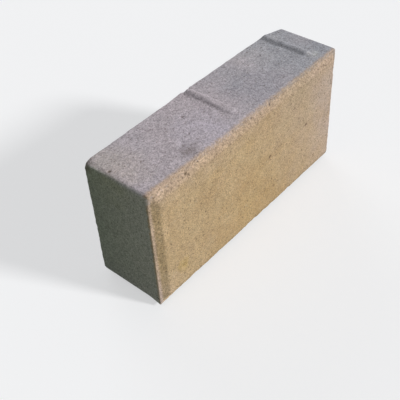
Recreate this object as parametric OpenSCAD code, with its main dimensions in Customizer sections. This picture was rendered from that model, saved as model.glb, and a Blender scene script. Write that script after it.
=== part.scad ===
// Rectangular concrete paving stone with a chamfered wearing face and spacer nibs.
// It is pressed in one piece. It is drawn lying on its bedding face, wearing face up,
// and then stood on one long side, with the wearing face to the front.
// The origin is on the floor, under the middle of the stone. All sizes are in millimetres.

/* [Stone] */
// Length between the two plain ends
stone_l = 200; // [120:1:300]
// Width between the two long sides, without the nibs
stone_w = 98; // [60:1:200]
// Thickness from the bedding face to the wearing face
stone_t = 57; // [45:1:120]
// Radius of the four upright corners
corner_r = 3; // [1:0.5:10]

/* [Wearing face] */
// Width of the flat land between the side of the stone and the foot of the chamfer
land_w = 2.2; // [0.4:0.2:4]
// Width of the chamfer, seen square on to the wearing face
chamfer_w = 5; // [1:0.5:10]
// Depth of the chamfer below the wearing face
chamfer_d = 3.2; // [1:0.2:10]
// Radius of the corners of the flat wearing face, inside the chamfer
face_r = 1; // [0.2:0.2:6]

/* [Spacer nibs] */
// Height that a nib stands out from the long side
nib_h = 2.2; // [1:0.1:3.2]
// Width of a nib at its root
nib_w = 7; // [6.5:0.5:16]
// Distance from the wearing face to the tip of a nib
nib_tip_gap = 11; // [10:1:25]
// Length of the taper at the tip of a nib
nib_taper_l = 5; // [3:1:14]
// Distance from the bedding face to the foot of a nib
nib_foot_gap = 1; // [0.5:0.5:4]
// Length of the slope at the foot of a nib
nib_foot_l = 2.5; // [1:0.5:6]
// Distance from the end of the stone to the middle of the outer nib
nib_end_gap = 19.5; // [15:0.5:60]
// Distance from the middle of the stone to the middle of the inner nib
nib_mid_gap = 5.5; // [0:0.5:20]

/* [Hidden] */
$fn = 64;

// The block carries a chamfered table, which ends in the wearing face
block_t = stone_t - chamfer_d;
foot_l = stone_l - 2 * land_w;
foot_w = stone_w - 2 * land_w;
foot_r = face_r + chamfer_w;

// A nib is the part of a round bar that stands out of the long side
nib_r = (nib_w * nib_w / 4 + nib_h * nib_h) / (2 * nib_h);
nib_axis_depth = nib_r - nib_h;
nib_full_l = stone_t - nib_tip_gap - nib_taper_l - nib_foot_l - nib_foot_gap;
nib_places = [stone_l / 2 - nib_end_gap, -nib_mid_gap];

side_grey = [0.60, 0.58, 0.59];
face_tan = [0.70, 0.61, 0.48];

// Places its children at the four corners of a rectangle
module at_corners(l, w) {
    for (x = [-l / 2, l / 2], y = [-w / 2, w / 2])
        translate([x, y, 0]) children();
}

// Rectangle with rounded corners
module rounded_rectangle(l, w, r) {
    square([l - 2 * r, w], center = true);
    square([l, w - 2 * r], center = true);
    at_corners(l - 2 * r, w - 2 * r) circle(r = r);
}

// Ridge along X whose two flanks have the slope of the chamfer
module chamfered_ridge(l, w) {
    rotate([90, 0, 90])
        linear_extrude(l, center = true)
            polygon([
                [-w / 2, 0],
                [w / 2, 0],
                [w / 2 - chamfer_w, chamfer_d],
                [chamfer_w - w / 2, chamfer_d]
            ]);
}

// Table on the land: the chamfer goes round its corners as cones
module chamfered_table() {
    chamfered_ridge(foot_l - 2 * foot_r, foot_w);
    rotate(90) chamfered_ridge(foot_w - 2 * foot_r, foot_l);
    at_corners(foot_l - 2 * foot_r, foot_w - 2 * foot_r)
        cylinder(h = chamfer_d, r1 = foot_r, r2 = face_r);
}

// Upright nib that slopes into the side at its foot and tapers into it at its tip
module spacer_nib() {
    translate([0, 0, nib_foot_gap]) {
        cylinder(h = nib_foot_l, r1 = nib_axis_depth, r2 = nib_r);
        translate([0, 0, nib_foot_l]) {
            cylinder(h = nib_full_l, r = nib_r);
            translate([0, 0, nib_full_l])
                cylinder(h = nib_taper_l, r1 = nib_r, r2 = nib_axis_depth);
        }
    }
}

// The nibs of both long sides: a half turn brings one side's nibs to the other side
module spacer_nibs() {
    for (turn = [0, 180], x = nib_places)
        rotate(turn)
            translate([x, stone_w / 2 - nib_axis_depth, 0])
                spacer_nib();
}

module paving_stone() {
    translate([0, stone_t / 2, stone_w / 2 + nib_h])
        rotate([90, 0, 0]) {
            color(side_grey) {
                linear_extrude(block_t) rounded_rectangle(stone_l, stone_w, corner_r);
                spacer_nibs();
            }
            color(face_tan) translate([0, 0, block_t]) chamfered_table();
        }
}

paving_stone();
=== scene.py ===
"""Looks of a pressed concrete paving stone that stands on one long side.

The stone's surface is six welded grids whose points are carried onto the stone's form,
then worn and pitted. Its concrete is tan on the wearing side and grey on the rest.
Lying coordinates are used for the form: x along the length, w across the width and
t up from the bedding face. Standing the stone up turns x, w and t into x, z and -y.
"""
import itertools
import math

import bpy
import numpy as np
from bpy.props import FloatProperty, FloatVectorProperty, IntProperty, PointerProperty
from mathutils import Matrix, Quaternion, Vector


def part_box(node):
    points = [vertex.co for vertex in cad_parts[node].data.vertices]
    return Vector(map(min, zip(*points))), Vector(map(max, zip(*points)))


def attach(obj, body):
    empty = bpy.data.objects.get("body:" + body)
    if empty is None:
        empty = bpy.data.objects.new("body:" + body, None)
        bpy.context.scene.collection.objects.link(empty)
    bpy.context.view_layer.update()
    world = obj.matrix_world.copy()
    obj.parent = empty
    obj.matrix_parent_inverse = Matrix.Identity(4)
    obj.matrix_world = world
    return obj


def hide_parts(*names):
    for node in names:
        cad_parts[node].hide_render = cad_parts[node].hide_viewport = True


bl_info = {
    "name": "Concrete paving stone",
    "version": (1, 0, 0),
    "blender": (4, 5, 0),
    "location": "View3D > Sidebar > Paving stone",
    "description": "Makes a pressed concrete paving stone and the studio that it stands in",
    "category": "Add Mesh",
}

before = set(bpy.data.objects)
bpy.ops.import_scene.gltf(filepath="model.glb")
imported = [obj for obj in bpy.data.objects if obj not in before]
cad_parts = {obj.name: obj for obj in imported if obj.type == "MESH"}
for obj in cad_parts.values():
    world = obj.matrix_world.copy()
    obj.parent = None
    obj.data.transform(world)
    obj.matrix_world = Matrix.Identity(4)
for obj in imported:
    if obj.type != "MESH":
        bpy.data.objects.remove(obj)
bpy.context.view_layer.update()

NODE = "paving_stone"
BODY = "root"
PIECE = "pressed_stone"
MM = 0.001
STONE_LOW, STONE_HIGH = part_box(NODE)
STONE_MIDDLE = (STONE_LOW + STONE_HIGH) / 2
NIB_HEIGHT = 2.2 * MM

# Larger pits in the wearing face: place along x, height above the floor, radius
FACE_PITS_MM = (
    (8, 101, 1.3),
    (61, 55, 1.5),
    (17, 54, 1.4),
    (-67, 96, 1.3),
    (45, 79, 1.1),
    (19, 97, 1.2),
    (-57, 99, 1.1),
    (-20, 28, 1.0),
)
# Worn places: a point of the plane that is left, the plane's outward direction, and its reach
WORN_PLACES_MM = (
    ((-97.6, 27.6, 98.4), (-0.8, 0.38, 0.46), 13),
    ((-97.6, 27.2, 98.6), (-0.4, 0.55, 0.73), 13),
    ((-95.2, 20, 100.2), (-0.37, 0.045, 0.93), 48),
    ((-100, -25.3, 82), (-0.87, -0.48, 0.1), 24),
    ((97.5, 21.8, 100.2), (0.26, 0.77, 0.58), 26),
    ((60, 26.6, 100), (0.012, 0.81, 0.58), 60),
    ((-58, 27.1, 100.2), (0, 0.81, 0.58), 48),
    ((-5.5, 2, 101.8), (0, -0.05, 1), 24),
    ((0, -23.1, 100.2), (-0.001, -0.36, 0.93), 125),
    ((0, -25.05, 99.2), (-0.001, -0.8, 0.6), 125),
)
# Yellowish spot in the wearing face, dark stain on the upper side and dark spot on the broken corner:
# middle, radius, strength
YELLOW_SPOT_MM = ((-78, -28, 25), 7, 0.5)
SIDE_STAIN_MM = ((-52, -17, 100), 9, 0.4)
CORNER_DARK_SPOT_MM = ((-99, 28, 97), 8, 0.6)
# Patches of the grey sides, two of them painted highlights on the outer nib, and of the tan face: middle,
# radius, what the colour is multiplied by
SIDE_PATCHES_AND_HIGHLIGHTS_MM = (
    ((26, -13, 100), 30, (0.87, 0.90, 0.92)),
    ((52, 20, 100), 22, (1.16, 1.13, 1.10)),
    ((-30, -14, 100), 26, (1.03, 1.05, 1.10)),
    ((-95, 12, 100), 26, (1.02, 1.01, 0.92)),
    # Pale patch on the outer nib's tip: a painted highlight
    ((83.5, -17.5, 100.4), 5.5, (1.26, 1.26, 1.18)),
    ((96, -15, 100), 13, (0.90, 0.92, 0.94)),
    # Pale patch along the outer nib's lit crest: a painted highlight
    ((84, 18, 102), 9, (1.12, 1.12, 1.10)),
)
FACE_PATCHES_MM = (
    ((0, -28, 12), 50, (0.99, 0.96, 0.87)),
    ((-97, -26, 70), 13, (1.17, 1.17, 1.18)),
    ((52, -27, 96), 36, (0.93, 0.95, 0.94)),
    ((106, -28, 80), 40, (1.00, 1.06, 1.24)),
    ((106, -28, 28), 40, (1.05, 1.09, 1.24)),
    ((-97, -27, 4), 27, (1.13, 1.19, 1.40)),
)

# Factors and shifts that stir the place of a cell into a random number
CELL_FACTORS = (73856093, 19349663, 83492791)
SEED_FACTOR = 374761393
SEED_START = 668265263
STIR_STEPS = ((31, 0x9E3779B97F4A7C15), (29, 0xBF58476D1CE4E5B9), (32, 1))
# Seeds of the fields of wear: the first six are added to the seed that a user chooses
GRAIN_SEED, WAVE_SEED, PIT_SEED, DENSE_SEED, ARRIS_SEED, CHIP_SEED = range(0, 60, 10)
WORN_SEED = 71
FACE_PIT_SEED = 91
# Weight of a layer of noise beside the layer before it, and number of layers
LAYER_WEIGHT = 0.6
LAYERS = 2

# Lines of the surface grid on the land and on the chamfer, and the first steps in from the chamfer
# and in from the edges of a side, in grid pitches
LAND_LINES = 4
CHAMFER_LINES = 6
FACE_STEP = 0.7
SIDE_STEPS = (0, 0.7, 1.5)
# Rounds of evening out the normals, and what stands in for a radius of 0 where it is divided by
NORMAL_ROUNDS = 8
TINY = 1e-9
# How far from the land, along the sides, the round of the lower near corner is filled
CORNER_FILL_REACH = 12 * MM

# Sandy grain and slow waves: size of their cells, and how much coarser the grain is where the
# concrete is crumbled or struck off
GRAIN_CELL = 2.4 * MM
WAVE_CELL = 34 * MM
COARSER = 0.5
# Scattered pits and denser ones: size of their cells and share of the cells that hold a pit, and
# the smallest radius as a share of the largest
PIT_CELL = 9 * MM
PIT_SHARE = 0.16
DENSE_CELL = 4.5 * MM
DENSE_SHARE = 0.22
SMALLEST_PIT = 0.45
# Larger pits: cell size and amount of their uneven outline, and depth as a share of the radius
FACE_PIT_CELL = 1.6 * MM
FACE_PIT_UNEVEN = 0.35
FACE_PIT_DEPTH = 0.9
# How far beside the chamfer the concrete is crumbled
CRUMBLE_REACH = 2 * MM
# Rubbed arrises: cell size and amount of their uneven radius, depth at the edge as a share of the
# radius, and the power by which the depth falls
ARRIS_CELL = 3.2 * MM
ARRIS_UNEVEN = 0.5
ARRIS_CUT = 0.41
ARRIS_POWER = 1.5
# Chips of the arrises: size of their cells, the noise at which they start, and their reach
CHIP_CELL = 7 * MM
CHIP_START = 0.22
CHIP_REACH = 1.8 * MM
# Worn places: cell size and amount of their uneven planes, and share of the reach that fades
WORN_CELL = 4 * MM
WORN_UNEVEN = 0.25 * MM
WORN_FADE = 0.25

# Border between the two mixes: its teeth, how far it reaches back over the arris at the near end,
# and how far in front of it the facing mix starts and is pure, where it is sharp and where slow
TOOTH_SIZE = 2.6 * MM
TOOTH_DEPTH = 1.2 * MM
BORDER_REACH = 2.0 * MM
SHARP_BORDER = (-2.2 * MM, -1.0 * MM)
SLOW_BORDER = (-2.6 * MM, 0.4 * MM)
# Strips below the upper side: how far below it each starts and ends
SLOW_BORDER_STRIP = (10 * MM, 7 * MM)
REACH_TOP_STRIP = (3 * MM, 1.5 * MM)
DUST_STRIP = (22 * MM, 5 * MM)
EDGE_DUST_STRIP = (8 * MM, 2 * MM)
LAND_DARK_STRIP = (5 * MM, 3 * MM)
# Strips along the length: how far from the near end each starts and ends
REACH_STRIP = (8 * MM, 60 * MM)
NEAR_DUST_STRIP = (1.8 * MM, 3.4 * MM)
NEAR_END_STRIP = (0.8 * MM, 2 * MM)
LAND_DARK_RISE = (10 * MM, 70 * MM)
# Places over which dust, cool grey and the painted shade of the near end set in: along x plus a share of z,
# x, and y
FAR_DUST_SPAN = (30 * MM, 110 * MM)
FAR_DUST_RISE = 0.5
COOL_SPAN = (-20 * MM, 80 * MM)
END_SHADE_SPAN = (-22 * MM, 26 * MM)
# Strength of the dust at the far end, at the near end, below the upper edge and along it
FAR_DUST = 0.9
NEAR_DUST = 1.1
UPPER_DUST = 0.45
EDGE_DUST = 0.55

# Clouds of the colours: size, and how much dust and cool grey vary
TAN_CLOUD = 26 * MM
DUST_CLOUD = 14 * MM
DUST_VARIES = 0.15
COOL_CLOUD = 38 * MM
COOL_VARIES = 0.2
# Spots and patches: cloud size and amount of the uneven edge, and full middle, as shares of the radius
SPOT_CLOUD = 0.7
SPOT_UNEVEN = 0.35
SPOT_CORE = 0.25
# Sand in the colour: size in millimetres, darkest and lightest factor, shift of its noise
SAND_LAYERS = ((0.95, 0.58, 1.38, 0.0), (3.2, 0.88, 1.11, 0.4), (11, 0.95, 1.04, 0.7))
SAND_SPREAD = 0.22
# Single grains: size, the noise at which they start and are full, and strength
PALE_GRAIN = 1.5 * MM
DARK_GRAIN = 1.9 * MM
GRAIN_START = 0.58
TAN_DARK_START = 0.60
GRAIN_FULL = 0.74
PALE_STRENGTH = 0.6
TAN_DARK_STRENGTH = 0.8
GREY_DARK_STRENGTH = 0.6
# Darker band along the upper arris: how far its middle lies behind the land, how far from the middle it
# starts to fade and ends, and its darkest factor
LAND_DARK_BACK = 0.8 * MM
LAND_DARK_FADE = (0.35 * MM, 1.1 * MM)
LAND_DARK_FACTOR = 0.90
# Dark specks of the crumbled chamfer, partly painted shade of its rough surface: size, noise at which they
# start and are full, and strength.
# Pits, darkened by dirt and by painted shade in the hollows: depth in millimetres at which they start to
# darken and are darkest, and strength
SPECK_SIZE = 2.2 * MM
SPECK_SPAN = (0.42, 0.66)
SPECK_SHADE = 0.26
PIT_DARK_SPAN = (0.1, 0.8)
PIT_DIRT_AND_SHADE = 0.85
# Sandy bump and matt finish
BUMP_SAND = 1.1 * MM
BUMP = {"Strength": 0.55, "Distance": 0.35 * MM}
MATT = {"Roughness": 0.93, "Specular IOR Level": 0.25}


def linear_colour(red, green, blue):
    """Linear colour for display values from 0 to 255, by the usual two-part display curve."""
    display = np.array([red, green, blue]) / 255
    low = display / 12.92
    high = ((display + 0.055) / 1.055) ** 2.4
    return tuple(np.where(display <= 0.04045, low, high))


def length_property(name, description, default):
    """A length in metres that a user can change."""
    return FloatProperty(
        name=name, description=description, default=default, min=0.0, unit="LENGTH", precision=4
    )


def colour_property(name, description, display):
    """A colour that a user can change, given by its display values from 0 to 255."""
    return FloatVectorProperty(
        name=name,
        description=description,
        default=linear_colour(*display),
        min=0.0,
        max=1.0,
        subtype="COLOR",
    )


class PavingStoneSizes(bpy.types.PropertyGroup):
    """Sizes of the stone, of its edges and of its nibs."""

    length: length_property("Length", "Between the two plain ends", STONE_HIGH.x - STONE_LOW.x)
    width: length_property(
        "Width", "Between the long sides, without the nibs", STONE_HIGH.z - STONE_LOW.z - 2 * NIB_HEIGHT
    )
    thickness: length_property(
        "Thickness", "From the bedding face to the wearing face", STONE_HIGH.y - STONE_LOW.y
    )
    corner_radius: length_property("Corner radius", "Of the four upright corners", 3 * MM)
    land_width: length_property("Land", "Flat strip between the side and the chamfer", 2.2 * MM)
    chamfer_width: length_property("Chamfer width", "Seen square on to the wearing face", 5 * MM)
    chamfer_depth: length_property("Chamfer depth", "Below the wearing face", 3.2 * MM)
    face_radius: length_property("Face corner radius", "Of the flat inside the chamfer", 1 * MM)
    nib_height: length_property("Nib height", "How far a nib stands out", NIB_HEIGHT)
    nib_width: length_property("Nib width", "At the root of a nib", 7 * MM)
    nib_tip_gap: length_property("Nib tip gap", "From the wearing face to a nib's tip", 11 * MM)
    nib_taper: length_property("Nib taper", "Length of the taper at a nib's tip", 5 * MM)
    nib_foot_gap: length_property("Nib foot gap", "From the bedding face to a nib's foot", 1 * MM)
    nib_foot: length_property("Nib foot", "Length of the slope at a nib's foot", 2.5 * MM)
    nib_end_gap: length_property("Outer nib", "From the stone's end to the outer nib", 19.5 * MM)
    nib_middle_gap: length_property("Inner nib", "From the stone's middle to the inner nib", 5.5 * MM)
    grid_pitch: length_property("Grid pitch", "Distance between the lines of the surface grid", 0.95 * MM)


class PavingStoneWear(bpy.types.PropertyGroup):
    """Depth of the relief that pressing, stripping and handling leave in the concrete."""

    grain: length_property("Grain", "Depth of the sandy grain", 0.16 * MM)
    waves: length_property("Waves", "Depth of the slow waves of a side", 0.25 * MM)
    pit_radius: length_property("Pits", "Radius of the largest scattered pit", 1.3 * MM)
    arris: length_property("Arris radius", "Of the round that a sharp edge is rubbed to", 1 * MM)
    chips: length_property("Chips", "Depth of the chips along a sharp edge", 0.7 * MM)
    seed: IntProperty(name="Seed", description="Chooses another set of grains, pits and chips", default=7)


class PavingStoneColours(bpy.types.PropertyGroup):
    """Colours of the concrete, and the painted light and shade of its near end."""

    tan: colour_property("Tan", "Wearing face", (196, 169, 134))
    tan_dark: colour_property("Dark tan", "Darker patches of the wearing face", (188, 158, 122))
    tan_pale: colour_property("Pale tan", "Pale sand grains of the wearing face", (212, 192, 164))
    tan_dusty: colour_property("Dusty tan", "Upper edge and both ends of the wearing face", (191, 166, 146))
    yellow: colour_property("Yellow", "Spot of clay in the wearing face", (190, 160, 92))
    grey: colour_property("Grey", "Sides and bedding face", (188, 177, 182))
    grey_cool: colour_property("Cool grey", "Sides towards the far end", (168, 167, 173))
    grey_pale: colour_property("Pale grey", "Pale sand grains of the sides", (206, 200, 203))
    # The near end's two tints paint its shade and the light bounced into it: lighter and greener at the
    # front, darker towards the back
    end_painted_light: FloatVectorProperty(
        name="End painted light",
        description="What the grey is multiplied by on the near end, at its front",
        default=(1.06, 1.12, 1.08),
        min=0.0,
    )
    end_painted_shade: FloatVectorProperty(
        name="End painted shade",
        description="What the grey is multiplied by on the near end, at its back",
        default=(0.72, 0.83, 0.73),
        min=0.0,
    )
    # This dark colour also paints the dirt and shade in the pits and the painted shade in the specks of the
    # crumbled chamfer
    dark_grain_and_painted_shade: colour_property("Dark grain", "Dark grains and the ground of the pits", (92, 78, 62))


class PavingStoneStudio(bpy.types.PropertyGroup):
    """Camera, lamps and floor."""

    camera_place: FloatVectorProperty(
        name="Camera place",
        description="Where the camera stands",
        default=(-0.3038, -0.2575, 0.3828),
        subtype="TRANSLATION",
        unit="LENGTH",
    )
    camera_aim: FloatVectorProperty(
        name="Camera aim",
        description="The point in the middle of the picture",
        default=(-0.0313, -0.0033, 0.0346),
        subtype="TRANSLATION",
        unit="LENGTH",
    )
    camera_roll: FloatProperty(
        name="Camera roll",
        description="Turn of the camera about its own line of sight",
        default=math.radians(-4.0),
        subtype="ANGLE",
    )
    camera_lens: FloatProperty(
        name="Focal length", description="In millimetres, on a sensor 36 mm wide", default=65.52, min=1.0
    )
    sun_from: FloatVectorProperty(
        name="Main light from", description="Direction of the main light", default=(0.33, -0.82, 0.46)
    )
    sun_strength: FloatProperty(name="Main light", description="Strength", default=2.76, min=0.0)
    sun_spread: FloatProperty(
        name="Main light spread",
        description="How wide the main light shows, for soft shadows",
        default=math.radians(9),
        subtype="ANGLE",
    )
    back_from: FloatVectorProperty(
        name="Back light from", description="Direction of the back light", default=(0.45, 0.85, 0.28)
    )
    back_strength: FloatProperty(name="Back light", description="Strength", default=1.0, min=0.0)
    back_spread: FloatProperty(
        name="Back light spread",
        description="How wide the back light shows, for soft shadows",
        default=math.radians(40),
        subtype="ANGLE",
    )
    sky: FloatVectorProperty(
        name="Fill light",
        description="Colour and level of the light from all round",
        default=(0.25, 0.262, 0.268),
        min=0.0,
        subtype="COLOR",
    )
    floor_seen: colour_property("Floor", "Colour of the floor in the picture", (246, 246, 247))
    floor_lit: FloatProperty(
        name="Floor lit", description="Share of the floor's colour that light brings out", default=0.50
    )
    floor_glow: FloatProperty(
        name="Floor glow", description="Share of the floor's colour that shows without light", default=0.58
    )
    floor_bounce: FloatVectorProperty(
        name="Floor bounce",
        description="Colour that the floor gives back to the stone",
        default=(0.13, 0.18, 0.05),
        min=0.0,
        max=1.0,
        subtype="COLOR",
    )
    floor_size: length_property("Floor size", "Side of the square floor", 12.0)


def random_at(cells, seed):
    """Random numbers from 0 to 1 for whole-numbered cells: the three numbers of a cell are
    multiplied by large odd numbers, joined with the seed and stirred by shifts and products."""
    mixed = np.full(len(cells), seed * SEED_FACTOR + SEED_START, np.uint64)
    for axis, factor in enumerate(CELL_FACTORS):
        mixed ^= cells[:, axis].astype(np.int64).astype(np.uint64) * np.uint64(factor)
    for shift, factor in STIR_STEPS:
        mixed = (mixed ^ (mixed >> np.uint64(shift))) * np.uint64(factor)
    return (mixed >> np.uint64(40)).astype(float) / 2**24


def smooth_noise(points, cell, seed):
    """Noise from -1 to 1: random values at the corners of cubic cells, blended inside a cell
    by the smooth step 3f^2 - 2f^3 of the place in it."""
    scaled = points / cell
    corner = np.floor(scaled)
    share = scaled - corner
    share = share * share * (3 - 2 * share)
    total = np.zeros(len(points))
    for offset in itertools.product((0, 1), repeat=3):
        weight = np.prod(np.where(offset, share, 1 - share), axis=1)
        total += weight * random_at(corner + offset, seed)
    return 2 * total - 1


def layered_noise(points, cell, seed):
    """Noise from -1 to 1 in layers: each has half the cell of the layer before it and
    LAYER_WEIGHT of its weight."""
    weights = LAYER_WEIGHT ** np.arange(LAYERS)
    total = sum(
        weight * smooth_noise(points, cell / 2**layer, seed + layer)
        for layer, weight in enumerate(weights)
    )
    return total / weights.sum()


def to_share(noise_values):
    """Noise from -1 to 1 carried to a share from 0 to 1."""
    return 0.5 + 0.5 * noise_values


def scattered_pits(points, cell, share, largest, seed):
    """Depth of round pits: a share of the cubic cells holds one ball each, at a random place and
    of a random radius, and a point is as deep as the bowl 1 - (distance/radius)^2 of that ball,
    times its radius."""
    home = np.floor(points / cell)
    depth = np.zeros(len(points))
    for offset in itertools.product((-1, 0, 1), repeat=3):
        neighbour = home + offset
        jitter = np.stack([random_at(neighbour, seed + axis) for axis in (1, 2, 3)], axis=1)
        size = SMALLEST_PIT + (1 - SMALLEST_PIT) * random_at(neighbour, seed + 4) ** 2
        radius = largest * size
        distance = np.linalg.norm(points - (neighbour + jitter) * cell, axis=1)
        bowl = np.clip(1 - (distance / radius) ** 2, 0, 1) * radius
        there = random_at(neighbour, seed + 5) < share
        depth = np.maximum(depth, np.where(there, bowl, 0))
    return depth


def graded_lines(low, high, pitch, steps):
    """Places of grid lines from low to high: the given steps in from both ends, which start at 0,
    and even steps of about one pitch between the last of them."""
    first, last = low + steps[-1], high - steps[-1]
    middle = np.linspace(first, last, round((last - first) / pitch) + 1)
    return np.concatenate([low + steps[:-1], middle, (high - steps[:-1])[::-1]])


def block_grid(counts):
    """Welded quads of the six sides of a block of counts[0] by counts[1] by counts[2] cells.
    Each side is a grid of two parameters. The points' whole-numbered places and the quads,
    turned outwards, come back."""
    strides = ((counts[1] + 1) * (counts[2] + 1), counts[2] + 1, 1)
    sides = []
    for axis in range(3):
        across, along = (axis + 1) % 3, (axis + 2) % 3
        u, v = np.meshgrid(np.arange(counts[across]), np.arange(counts[along]), indexing="ij")
        for level, order in ((counts[axis], (0, 1, 2, 3)), (0, (3, 2, 1, 0))):
            corners = [
                level * strides[axis] + (u + du) * strides[across] + (v + dv) * strides[along]
                for du, dv in ((0, 0), (1, 0), (1, 1), (0, 1))
            ]
            sides.append(np.stack([corners[n].ravel() for n in order], axis=1))
    keys, welded = np.unique(np.concatenate(sides), return_inverse=True)
    places = np.stack([keys // strides[0], keys // strides[1] % (counts[1] + 1), keys % strides[1]], 1)
    return places, welded.reshape(-1, 4)


class StoneForm:
    """Grid of the stone's surface in lying coordinates, with what each point needs to be worn."""

    def __init__(self, sizes):
        self.sizes = sizes
        self.block = sizes.thickness - sizes.chamfer_depth
        self.chamfer_end = sizes.land_width + sizes.chamfer_width
        plan_steps = np.concatenate([
            np.linspace(0, sizes.land_width, LAND_LINES)[:-1],
            np.linspace(sizes.land_width, self.chamfer_end, CHAMFER_LINES),
            [self.chamfer_end + FACE_STEP * sizes.grid_pitch],
        ])
        side_steps = sizes.grid_pitch * np.array(SIDE_STEPS)
        half_length, half_width = sizes.length / 2, sizes.width / 2
        lines = (
            graded_lines(-half_length, half_length, sizes.grid_pitch, plan_steps),
            graded_lines(-half_width, half_width, sizes.grid_pitch, plan_steps),
            graded_lines(0, self.block, sizes.grid_pitch, side_steps),
        )
        places, self.quads = block_grid([len(line) - 1 for line in lines])
        flat = [line[places[:, axis]] for axis, line in enumerate(lines)]
        self.wearing = places[:, 2] == len(lines[2]) - 1
        self.bedding = places[:, 2] == 0
        self.side = np.sign(places[:, 1] - (len(lines[1]) - 1) / 2)
        self.side *= (places[:, 1] == 0) | (places[:, 1] == len(lines[1]) - 1)
        self.inset = np.where(
            self.wearing | self.bedding,
            np.minimum(half_length - abs(flat[0]), half_width - abs(flat[1])),
            0.0,
        )
        self.points = self.formed(*flat)

    def corner_radii(self):
        """Radius of the corners of the outline that each point lies on: on the wearing side it
        follows land, chamfer and face, and on the bedding side it shrinks with the inset."""
        sizes = self.sizes
        insets = (0, sizes.land_width, self.chamfer_end, self.chamfer_end + sizes.face_radius)
        radii = (sizes.corner_radius, sizes.face_radius + sizes.chamfer_width, sizes.face_radius, 0)
        on_bedding = np.maximum(sizes.corner_radius - self.inset, 0)
        return np.where(self.wearing, np.interp(self.inset, insets, radii), on_bedding)

    def corner_fill(self, x, w, t):
        """How far the round of an upright corner is filled. Only the lower corner of the near end
        is: fully at the edge of the land, less by the share of the land's width inwards, and less
        by the share of CORNER_FILL_REACH along the sides towards the bedding face."""
        lower_near = (x < 0) & (w < 0)
        on_land = np.clip(1 - self.inset / self.sizes.land_width, 0, 1)
        near_land = np.clip(1 - (self.block - t) / CORNER_FILL_REACH, 0, 1)
        return lower_near * on_land * near_land

    def formed(self, x, w, t):
        """Carries a point of the square block onto the stone. In plan, what lies within one corner
        radius of an outline's corner goes onto a quarter circle, by its share of the way to the
        corner, as far as the corner isn't filled. The wearing side rises along the chamfer, and the
        nibs stand out of the sides."""
        sizes = self.sizes
        half_x, half_w = sizes.length / 2 - self.inset, sizes.width / 2 - self.inset
        radius = self.corner_radii()
        on_end = half_x - abs(x) <= half_w - abs(w)
        run = np.where(on_end, half_w - abs(w), half_x - abs(x))
        turn = math.pi / 4 * np.clip(1 - run / np.maximum(radius, TINY), 0, 1)
        in_corner = run < radius
        ahead, aside = radius * np.cos(turn), radius * np.sin(turn)
        round_x = half_x - radius + np.where(on_end, ahead, aside)
        round_w = half_w - radius + np.where(on_end, aside, ahead)
        rounding = in_corner * (1 - self.corner_fill(x, w, t))
        x = x + rounding * (np.copysign(round_x, x) - x)
        w = w + rounding * (np.copysign(round_w, w) - w)
        rise = np.clip((self.inset - sizes.land_width) / sizes.chamfer_width, 0, 1)
        t = np.where(self.wearing, self.block + rise * sizes.chamfer_depth, t)
        return np.stack([x, w + self.side * self.nib_rise(x, t), t], axis=1)

    def nib_rise(self, x, t):
        """How far a nib stands out: a round bar whose axis lies inside the side, and whose radius
        shrinks along the foot and the taper until it goes under."""
        sizes = self.sizes
        axis_depth = (sizes.nib_width**2 / 4 - sizes.nib_height**2) / (2 * sizes.nib_height)
        from_foot = (t - sizes.nib_foot_gap) / sizes.nib_foot
        to_tip = (sizes.thickness - sizes.nib_tip_gap - t) / sizes.nib_taper
        radius = axis_depth + sizes.nib_height * np.clip(np.minimum(from_foot, to_tip), 0, 1)
        rise = np.zeros(len(x))
        for place in (sizes.length / 2 - sizes.nib_end_gap, -sizes.nib_middle_gap):
            chord = np.sqrt(np.maximum(radius**2 - (x * self.side - place) ** 2, 0))
            rise = np.maximum(rise, chord - axis_depth)
        return rise

    def normals(self):
        """Outward normals: the cross products of the diagonals of the quads, evened out some times
        over a point's quads and back, so that the points beside a sharp edge lean towards it."""
        corners = self.points[self.quads]
        facing = np.cross(corners[:, 2] - corners[:, 0], corners[:, 3] - corners[:, 1])
        facing /= np.linalg.norm(facing, axis=1, keepdims=True)
        for _ in range(NORMAL_ROUNDS):
            total = np.stack(
                [
                    np.bincount(self.quads.ravel(), np.repeat(facing[:, axis], 4), len(self.points))
                    for axis in range(3)
                ],
                axis=1,
            )
            normals = total / np.linalg.norm(total, axis=1, keepdims=True)
            facing = normals[self.quads].mean(axis=1)
        return normals

    def arris_distance(self):
        """Distance of a point from the nearest sharp edge, along the surface."""
        t = self.points[:, 2]
        on_side = np.minimum(t, self.block - t)
        return np.where(self.wearing | self.bedding, self.inset, on_side)

    def crumbled(self):
        """Share of crumbled concrete: 1 on the chamfer, falling to 0 over CRUMBLE_REACH beside it."""
        sizes = self.sizes
        chamfer_middle = (sizes.land_width + self.chamfer_end) / 2
        from_chamfer = abs(self.inset - chamfer_middle) - sizes.chamfer_width / 2
        return np.where(self.wearing, np.clip(1 - from_chamfer / CRUMBLE_REACH, 0, 1), 0)

    def face_pits(self):
        """Depth of the larger pits of the wearing face, each a shallow bowl, uneven in outline:
        1 - (distance/radius)^2, times FACE_PIT_DEPTH of the radius."""
        x, w, _ = self.points.T
        uneven = 1 + FACE_PIT_UNEVEN * smooth_noise(self.points, FACE_PIT_CELL, FACE_PIT_SEED)
        depth = np.zeros(len(x))
        for pit_x, height, radius in FACE_PITS_MM:
            along, up = x - pit_x * MM, w - (height * MM - STONE_MIDDLE.z)
            distance = np.hypot(along, up) * uneven / (radius * MM)
            bowl = FACE_PIT_DEPTH * radius * MM * np.clip(1 - distance**2, 0, 1)
            depth = np.maximum(depth, bowl)
        return np.where(self.wearing, depth, 0)

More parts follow.
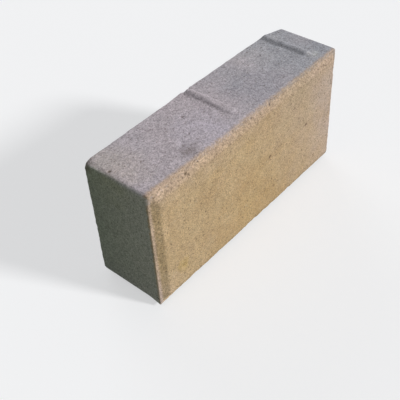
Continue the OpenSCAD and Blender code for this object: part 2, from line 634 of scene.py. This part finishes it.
    def pit_depth(self, wear, crumble):
        """Depth of all pits: the deepest of those scattered everywhere, the denser ones of the
        bedding face and of crumbled concrete, and the larger ones of the wearing face."""
        points = self.points
        pits = scattered_pits(points, PIT_CELL, PIT_SHARE, wear.pit_radius, wear.seed + PIT_SEED)
        dense = scattered_pits(points, DENSE_CELL, DENSE_SHARE, wear.pit_radius, wear.seed + DENSE_SEED)
        pits = np.maximum(pits, dense * np.maximum(crumble, self.bedding))
        return np.maximum(pits, self.face_pits())

    def arris_depth(self, wear):
        """How far a sharp edge is rubbed and chipped: a round of uneven radius, which cuts the edge
        by ARRIS_CUT of the radius and falls to 0 one radius away, by a power of the way there, and
        chips where a noise is over CHIP_START, under a bell curve of the distance."""
        distance = self.arris_distance()
        uneven = layered_noise(self.points, ARRIS_CELL, wear.seed + ARRIS_SEED)
        radius = wear.arris * (1 + ARRIS_UNEVEN * uneven)
        rounded = ARRIS_CUT * radius * np.clip(1 - distance / radius, 0, 1) ** ARRIS_POWER
        chip_noise = layered_noise(self.points, CHIP_CELL, wear.seed + CHIP_SEED)
        chips = 2 * wear.chips * np.clip(chip_noise - CHIP_START, 0, None)
        return rounded + chips * np.exp(-((distance / CHIP_REACH) ** 2))

    def worn(self, wear):
        """Points rubbed inwards along their normals by the sum of grain, slow waves, pits and worn
        arrises, then set back at the worn places. The grain is coarser where the concrete is
        crumbled or struck off. The depth of the pits and the share of crumbled concrete come
        back too."""
        points, crumble = self.points, self.crumbled()
        coarse = 1 + COARSER * (crumble + self.bedding)
        grain = to_share(layered_noise(points, GRAIN_CELL, wear.seed + GRAIN_SEED))
        waves = to_share(smooth_noise(points, WAVE_CELL, wear.seed + WAVE_SEED))
        pits = self.pit_depth(wear, crumble)
        depth = wear.grain * coarse * grain + wear.waves * waves + pits + self.arris_depth(wear)
        return self.worn_places(points - depth[:, None] * self.normals()), pits, crumble

    def worn_places(self, points):
        """Points that stand out over the uneven plane of a worn place are set back onto it, along
        its outward direction. This fades out over the last WORN_FADE of its reach."""
        for middle_mm, outward, reach in WORN_PLACES_MM:
            x, y, z = np.array(middle_mm) * MM
            middle = np.array([x, z - STONE_MIDDLE.z, self.sizes.thickness / 2 - y])
            outward = np.array([outward[0], outward[2], -outward[1]]) / np.linalg.norm(outward)
            uneven = WORN_UNEVEN * layered_noise(points, WORN_CELL, WORN_SEED)
            over = (points - middle) @ outward + uneven
            way = np.linalg.norm(points - middle, axis=1) / (reach * MM)
            near = np.clip((1 - way) / WORN_FADE, 0, 1)
            points = points - (near * np.maximum(over, 0))[:, None] * outward
        return points

    def stood_up(self, points):
        """Lying points turned onto the long side: x stays, t goes to -y and w to z."""
        x, w, t = points.T
        y = STONE_MIDDLE.y + self.sizes.thickness / 2 - t
        return np.stack([x + STONE_MIDDLE.x, y, w + STONE_MIDDLE.z], axis=1)


def quad_mesh(name, points, quads):
    """A smooth mesh object of the given points and quads."""
    mesh = bpy.data.meshes.new(name)
    mesh.vertices.add(len(points))
    mesh.vertices.foreach_set("co", points.astype(np.float32).ravel())
    mesh.loops.add(quads.size)
    mesh.loops.foreach_set("vertex_index", quads.astype(np.int32).ravel())
    mesh.polygons.add(len(quads))
    mesh.polygons.foreach_set("loop_start", np.arange(0, quads.size, 4, dtype=np.int32))
    mesh.polygons.foreach_set("use_smooth", np.ones(len(quads), bool))
    mesh.update(calc_edges=True)
    mesh.validate()
    piece = bpy.data.objects.new(name, mesh)
    bpy.context.scene.collection.objects.link(piece)
    return piece


def put(tree, kind, inputs=(), **settings):
    """Adds a node, sets its settings, and sets or links its inputs, given by name or number."""
    node = tree.nodes.new(kind)
    for name, value in settings.items():
        setattr(node, name, value)
    for name, value in dict(inputs).items():
        if isinstance(value, bpy.types.NodeSocket):
            tree.links.new(value, node.inputs[name])
        else:
            node.inputs[name].default_value = value
    return node


def noise(tree, place, size, detail=2.0, roughness=0.6, shift=0.0):
    """Noise from 0 to 1 whose patches are about one size across. Shift chooses another noise."""
    moved = put(tree, "ShaderNodeVectorMath", {0: place, 1: (shift, 2 * shift, -shift)}, operation="ADD")
    inputs = {"Vector": moved.outputs[0], "Scale": 1 / size, "Detail": detail, "Roughness": roughness}
    return put(tree, "ShaderNodeTexNoise", inputs).outputs["Fac"]


def span(tree, value, low, high, to_low=0.0, to_high=1.0):
    """Carries a value from low..high to another span, held at its ends."""
    inputs = {"Value": value, "From Min": low, "From Max": high, "To Min": to_low, "To Max": to_high}
    return put(tree, "ShaderNodeMapRange", inputs, clamp=True).outputs["Result"]


def blend(tree, share, first, second, kind="MIX"):
    """Blends two colours by a share."""
    node = put(tree, "ShaderNodeMix", {0: share, 6: first, 7: second}, data_type="RGBA", blend_type=kind)
    return node.outputs[2]


def math_node(tree, operation, first, second=0.0):
    """One step of arithmetic on two numbers."""
    return put(tree, "ShaderNodeMath", {0: first, 1: second}, operation=operation).outputs[0]


def rgba(colour):
    """A colour with full cover."""
    return (*colour, 1.0)


def clouds(tree, place, size, low, high, detail=3.0, spread=0.2, shift=0.0):
    """Noise carried to low..high, which it reaches a spread away from its middle of 0.5."""
    cloud = noise(tree, place, size, detail, shift=shift)
    return span(tree, cloud, 0.5 - spread, 0.5 + spread, low, high)


def near_place(tree, place, middle_mm, radius_mm):
    """1 at a place of the stone, fading to 0 at about the radius, with an uneven edge."""
    middle = tuple(value * MM for value in middle_mm)
    radius = radius_mm * MM
    distance = put(tree, "ShaderNodeVectorMath", {0: place, 1: middle}, operation="DISTANCE")
    uneven = clouds(tree, place, SPOT_CLOUD * radius, -SPOT_UNEVEN * radius, SPOT_UNEVEN * radius)
    distance = math_node(tree, "ADD", distance.outputs["Value"], uneven)
    return span(tree, distance, SPOT_CORE * radius, radius, 1.0, 0.0)


def patched(tree, place, colour, patches_mm):
    """A colour multiplied by the tints of patches, each strongest in its middle."""
    for middle_mm, radius_mm, tint in patches_mm:
        share = near_place(tree, place, middle_mm, radius_mm)
        colour = blend(tree, share, colour, rgba(tint), "MULTIPLY")
    return colour


def spotted(tree, place, colour, spot_mm, spot_colour):
    """A colour with a spot of another colour, strongest in its middle."""
    middle_mm, radius_mm, strength = spot_mm
    share = math_node(tree, "MULTIPLY", near_place(tree, place, middle_mm, radius_mm), strength)
    return blend(tree, share, colour, rgba(spot_colour))


def grained(tree, place, colour, grain_colour, size, strength, shift, start=GRAIN_START):
    """A colour with scattered grains of another colour, which show where a noise is over start
    and come to their strength at GRAIN_FULL."""
    share = span(tree, noise(tree, place, size, shift=shift), start, GRAIN_FULL, 0.0, strength)
    return blend(tree, share, colour, rgba(grain_colour))


def mottled(tree, place, colour, shift):
    """A colour made lighter and darker by the sand in it: grains, clusters of them and patches."""
    for size_mm, low, high, step in SAND_LAYERS:
        size, shifted = size_mm * MM, shift + step
        light = clouds(tree, place, size, low, high, detail=2.0, spread=SAND_SPREAD, shift=shifted)
        colour = blend(tree, 1.0, colour, light, "MULTIPLY")
    return colour


def land_place(sizes):
    """Where the land round the wearing face lies along y."""
    return STONE_MIDDLE.y - sizes.thickness / 2 + sizes.chamfer_depth


def towards_top(tree, z, sizes, strip, strength=1.0):
    """Rises from 0 to a strength over a strip, given by its two distances below the upper side."""
    top = STONE_MIDDLE.z + sizes.width / 2
    return span(tree, z, top - strip[0], top - strip[1], 0.0, strength)


def from_near_end(tree, x, strip, first, last):
    """Goes from a first to a last value over a strip, given by its two distances from the near
    end."""
    return span(tree, x, STONE_LOW.x + strip[0], STONE_LOW.x + strip[1], first, last)


def facing_share(tree, place, sizes):
    """1 where the concrete is the tan facing mix: in front of the arris round the wearing face.
    The border is ragged. Along the upper edge the two mixes pass slowly into each other, and
    towards the near end the facing mix reaches a little over the arris."""
    x, y, z = put(tree, "ShaderNodeSeparateXYZ", {0: place}).outputs
    arris = land_place(sizes)
    low, high = arris - TOOTH_DEPTH, arris + TOOTH_DEPTH
    border = clouds(tree, place, TOOTH_SIZE, low, high, spread=0.25, shift=0.3)
    reach = from_near_end(tree, x, REACH_STRIP, BORDER_REACH, 0.0)
    at_top = towards_top(tree, z, sizes, REACH_TOP_STRIP)
    border = math_node(tree, "ADD", border, math_node(tree, "MULTIPLY", reach, at_top))
    ahead = math_node(tree, "SUBTRACT", border, y)
    slow = towards_top(tree, z, sizes, SLOW_BORDER_STRIP)
    start, pure = (span(tree, slow, 0, 1, *ends) for ends in zip(SHARP_BORDER, SLOW_BORDER))
    return span(tree, ahead, start, pure)


def dusty_share(tree, place, sizes):
    """1 where the facing mix is dusty: near the far end and more so higher up, on the land of the
    near end, and near the upper edge. The largest of these counts, and clouds make it vary."""
    x, _, z = put(tree, "ShaderNodeSeparateXYZ", {0: place}).outputs
    far_and_high = math_node(tree, "ADD", x, math_node(tree, "MULTIPLY", z, FAR_DUST_RISE))
    far = span(tree, far_and_high, *FAR_DUST_SPAN, 0.0, FAR_DUST)
    near = from_near_end(tree, x, NEAR_DUST_STRIP, NEAR_DUST, 0.0)
    below_edge = towards_top(tree, z, sizes, DUST_STRIP, UPPER_DUST)
    along_edge = towards_top(tree, z, sizes, EDGE_DUST_STRIP, EDGE_DUST)
    upper = math_node(tree, "ADD", below_edge, along_edge)
    dusty = math_node(tree, "MAXIMUM", math_node(tree, "MAXIMUM", far, near), upper)
    cloudy = clouds(tree, place, DUST_CLOUD, -DUST_VARIES, DUST_VARIES, shift=9.4)
    return span(tree, math_node(tree, "ADD", dusty, cloudy), 0, 1)


def tan_concrete(tree, place, sizes, colours):
    """Tan facing mix: clouds of a darker tan, dust, patches, a yellow spot, and sand with pale and
    dark grains."""
    cloudy = clouds(tree, place, TAN_CLOUD, 0.0, 1.0)
    colour = blend(tree, cloudy, rgba(colours.tan), rgba(colours.tan_dark))
    colour = blend(tree, dusty_share(tree, place, sizes), colour, rgba(colours.tan_dusty))
    colour = patched(tree, place, colour, FACE_PATCHES_MM)
    colour = spotted(tree, place, colour, YELLOW_SPOT_MM, colours.yellow)
    colour = mottled(tree, place, colour, shift=1.1)
    colour = grained(tree, place, colour, colours.tan_pale, PALE_GRAIN, PALE_STRENGTH, shift=2.9)
    dark = {"strength": TAN_DARK_STRENGTH, "shift": 2.3, "start": TAN_DARK_START}
    return grained(tree, place, colour, colours.dark_grain_and_painted_shade, DARK_GRAIN, **dark)


def grey_concrete(tree, place, colours):
    """Grey backing mix: cooler and darker towards the far end and in clouds, patches, two of which are
    painted highlights on the outer nib, painted shade and bounce light on the near end, darker and greener
    towards its back, sand with pale and dark grains, a dark stain and a dark spot on the broken corner."""
    x, y, _ = put(tree, "ShaderNodeSeparateXYZ", {0: place}).outputs
    cloudy = clouds(tree, place, COOL_CLOUD, -COOL_VARIES, COOL_VARIES, spread=0.15, shift=4.0)
    cool = span(tree, math_node(tree, "ADD", span(tree, x, *COOL_SPAN), cloudy), 0, 1)
    colour = blend(tree, cool, rgba(colours.grey), rgba(colours.grey_cool))
    colour = patched(tree, place, colour, SIDE_PATCHES_AND_HIGHLIGHTS_MM)
    # Painted shade and bounce light on the near end: darker and greener towards its back
    end_shade_share = span(tree, y, *END_SHADE_SPAN)
    end_painted_tint = blend(tree, end_shade_share, rgba(colours.end_painted_light), rgba(colours.end_painted_shade))
    near_end = from_near_end(tree, x, NEAR_END_STRIP, 1.0, 0.0)
    colour = blend(tree, near_end, colour, end_painted_tint, "MULTIPLY")
    colour = mottled(tree, place, colour, shift=5.2)
    colour = grained(tree, place, colour, colours.grey_pale, PALE_GRAIN, PALE_STRENGTH, shift=3.3)
    colour = grained(tree, place, colour, colours.dark_grain_and_painted_shade, DARK_GRAIN, GREY_DARK_STRENGTH, shift=6.4)
    colour = spotted(tree, place, colour, SIDE_STAIN_MM, colours.dark_grain_and_painted_shade)
    return spotted(tree, place, colour, CORNER_DARK_SPOT_MM, colours.dark_grain_and_painted_shade)


def darkened_upper_land(tree, place, colour, sizes):
    """A colour made darker on the upper land and on the arris beside it, and less so towards the near
    end."""
    x, y, z = put(tree, "ShaderNodeSeparateXYZ", {0: place}).outputs
    upper = towards_top(tree, z, sizes, LAND_DARK_STRIP)
    share = math_node(tree, "MULTIPLY", upper, from_near_end(tree, x, LAND_DARK_RISE, 0.0, 1.0))
    middle = land_place(sizes) + LAND_DARK_BACK
    away = math_node(tree, "ABSOLUTE", math_node(tree, "SUBTRACT", y, middle))
    shade = span(tree, away, *LAND_DARK_FADE, LAND_DARK_FACTOR, 1.0)
    return blend(tree, share, colour, shade, "MULTIPLY")


def concrete_material(sizes, colours):
    """Matt sandy concrete, tan in front and grey elsewhere, with dark specks where it is crumbled, which
    partly paint the shade of its rough surface, and darker in the pits by dirt and painted shade."""
    material = bpy.data.materials.new("pressed_concrete")
    material.use_nodes = True
    tree = material.node_tree
    tree.nodes.clear()
    place = put(tree, "ShaderNodeTexCoord").outputs["Object"]
    facing = facing_share(tree, place, sizes)
    tan = tan_concrete(tree, place, sizes, colours)
    colour = blend(tree, facing, grey_concrete(tree, place, colours), tan)
    colour = darkened_upper_land(tree, place, colour, sizes)
    # Dark specks on the crumbled chamfer: partly dark specks of the concrete, partly painted shade of its
    # rough surface
    crumble = put(tree, "ShaderNodeAttribute", attribute_name="crumble").outputs["Fac"]
    specks = span(tree, noise(tree, place, SPECK_SIZE, shift=8.8), *SPECK_SPAN)
    shade = math_node(tree, "MULTIPLY", math_node(tree, "MULTIPLY", crumble, specks), SPECK_SHADE)
    colour = blend(tree, shade, colour, rgba(colours.dark_grain_and_painted_shade))
    # Pits darkened by dirt and by painted shade in the hollows
    pit = put(tree, "ShaderNodeAttribute", attribute_name="pit_depth").outputs["Fac"]
    pit_dirt_and_shade = span(tree, pit, *PIT_DARK_SPAN, 0.0, PIT_DIRT_AND_SHADE)
    colour = blend(tree, pit_dirt_and_shade, colour, rgba(colours.dark_grain_and_painted_shade))
    sand = noise(tree, place, BUMP_SAND, detail=3.0, roughness=0.65, shift=7.7)
    bump = put(tree, "ShaderNodeBump", {"Height": sand, **BUMP})
    inputs = {"Base Color": colour, "Normal": bump.outputs[0], **MATT}
    shader = put(tree, "ShaderNodeBsdfPrincipled", inputs)
    put(tree, "ShaderNodeOutputMaterial", {"Surface": shader.outputs[0]})
    return material


class PAVING_OT_make_stone(bpy.types.Operator):
    """Make the pressed stone in the place of its plain solid"""

    bl_idname = "paving.make_stone"
    bl_label = "Make stone"

    def execute(self, context):
        scene = context.scene
        form = StoneForm(scene.paving_sizes)
        worn, pits, crumble = form.worn(scene.paving_wear)
        stone = quad_mesh(PIECE, form.stood_up(worn), form.quads)
        for name, values in (("pit_depth", pits / MM), ("crumble", crumble)):
            field = stone.data.attributes.new(name, "FLOAT", "POINT")
            field.data.foreach_set("value", values.astype(np.float32))
        stone.data.materials.append(concrete_material(scene.paving_sizes, scene.paving_colours))
        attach(stone, BODY)
        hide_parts(NODE)
        return {"FINISHED"}


def sun_lamp(name, direction, strength, spread):
    """A lamp far away that shines from a direction, with soft shadows by its spread."""
    lamp = bpy.data.lights.new(name, "SUN")
    lamp.energy = strength
    lamp.angle = spread
    holder = bpy.data.objects.new(name, lamp)
    holder.rotation_mode = "QUATERNION"
    holder.rotation_quaternion = Vector(direction).to_track_quat("Z", "Y")
    bpy.context.scene.collection.objects.link(holder)


def seen_directly(tree):
    """1 for rays that come from the camera or by way of gloss or glass, and 0 for other rays."""
    path = put(tree, "ShaderNodeLightPath")
    glossy = math_node(tree, "MAXIMUM", path.outputs["Is Camera Ray"], path.outputs["Is Glossy Ray"])
    return math_node(tree, "MAXIMUM", glossy, path.outputs["Is Transmission Ray"])


def floor_material(studio):
    """Pale floor that keeps the stone's shadow in the picture, and gives little light back."""
    material = bpy.data.materials.new("pale_floor")
    material.use_nodes = True
    tree = material.node_tree
    tree.nodes.clear()
    lit_colour = tuple(studio.floor_lit * value for value in studio.floor_seen)
    lit = put(tree, "ShaderNodeBsdfDiffuse", {"Color": rgba(lit_colour)})
    glow_inputs = {"Color": rgba(studio.floor_seen), "Strength": studio.floor_glow}
    glow = put(tree, "ShaderNodeEmission", glow_inputs)
    pale = put(tree, "ShaderNodeAddShader", {0: lit.outputs[0], 1: glow.outputs[0]})
    bounce = put(tree, "ShaderNodeBsdfDiffuse", {"Color": rgba(studio.floor_bounce)})
    shares = {0: seen_directly(tree), 1: bounce.outputs[0], 2: pale.outputs[0]}
    mixed = put(tree, "ShaderNodeMixShader", shares)
    put(tree, "ShaderNodeOutputMaterial", {"Surface": mixed.outputs[0]})
    return material


def fill_world(studio):
    """World that fills the shade with soft light and shows as the floor's colour."""
    world = bpy.data.worlds.new("studio_fill")
    world.use_nodes = True
    tree = world.node_tree
    tree.nodes.clear()
    colour = blend(tree, seen_directly(tree), rgba(studio.sky), rgba(studio.floor_seen))
    background = put(tree, "ShaderNodeBackground", {"Color": colour, "Strength": 1.0})
    put(tree, "ShaderNodeOutputWorld", {"Surface": background.outputs[0]})
    return world


class PAVING_OT_make_studio(bpy.types.Operator):
    """Make the floor, the lamps and the camera"""

    bl_idname = "paving.make_studio"
    bl_label = "Make studio"

    def execute(self, context):
        scene, studio = context.scene, context.scene.paving_studio
        half = studio.floor_size / 2
        corners = np.array([(-half, -half, 0), (half, -half, 0), (half, half, 0), (-half, half, 0)])
        floor = quad_mesh("floor", corners, np.array([[0, 1, 2, 3]]))
        floor.data.materials.append(floor_material(studio))
        sun_lamp("main_light", studio.sun_from, studio.sun_strength, studio.sun_spread)
        sun_lamp("back_light", studio.back_from, studio.back_strength, studio.back_spread)
        scene.world = fill_world(studio)
        camera = bpy.data.objects.new("camera", bpy.data.cameras.new("camera"))
        camera.data.lens = studio.camera_lens
        camera.location = studio.camera_place
        sight = Vector(studio.camera_aim) - Vector(studio.camera_place)
        roll = Quaternion((0, 0, 1), studio.camera_roll)
        camera.rotation_mode = "QUATERNION"
        camera.rotation_quaternion = sight.to_track_quat("-Z", "Y") @ roll
        scene.collection.objects.link(camera)
        scene.camera = camera
        scene.view_settings.view_transform = "Standard"
        return {"FINISHED"}


class PAVING_PT_panel(bpy.types.Panel):
    """Sizes, wear, colours and studio of the paving stone"""

    bl_idname = "PAVING_PT_panel"
    bl_label = "Paving stone"
    bl_space_type = "VIEW_3D"
    bl_region_type = "UI"
    bl_category = "Paving stone"

    def draw(self, context):
        for group_name in GROUPS:
            box = self.layout.box()
            group = getattr(context.scene, group_name)
            for name in type(group).__annotations__:
                box.prop(group, name)
        for operator in OPERATORS:
            self.layout.operator(operator.bl_idname)


GROUPS = {
    "paving_sizes": PavingStoneSizes,
    "paving_wear": PavingStoneWear,
    "paving_colours": PavingStoneColours,
    "paving_studio": PavingStoneStudio,
}
OPERATORS = (PAVING_OT_make_stone, PAVING_OT_make_studio)
CLASSES = (*GROUPS.values(), *OPERATORS, PAVING_PT_panel)


def register():
    for each in CLASSES:
        bpy.utils.register_class(each)
    for name, group in GROUPS.items():
        setattr(bpy.types.Scene, name, PointerProperty(type=group))


def unregister():
    for name in GROUPS:
        delattr(bpy.types.Scene, name)
    for each in reversed(CLASSES):
        bpy.utils.unregister_class(each)


def main():
    register()
    bpy.ops.paving.make_stone()
    bpy.ops.paving.make_studio()


if __name__ == "__main__":
    main()
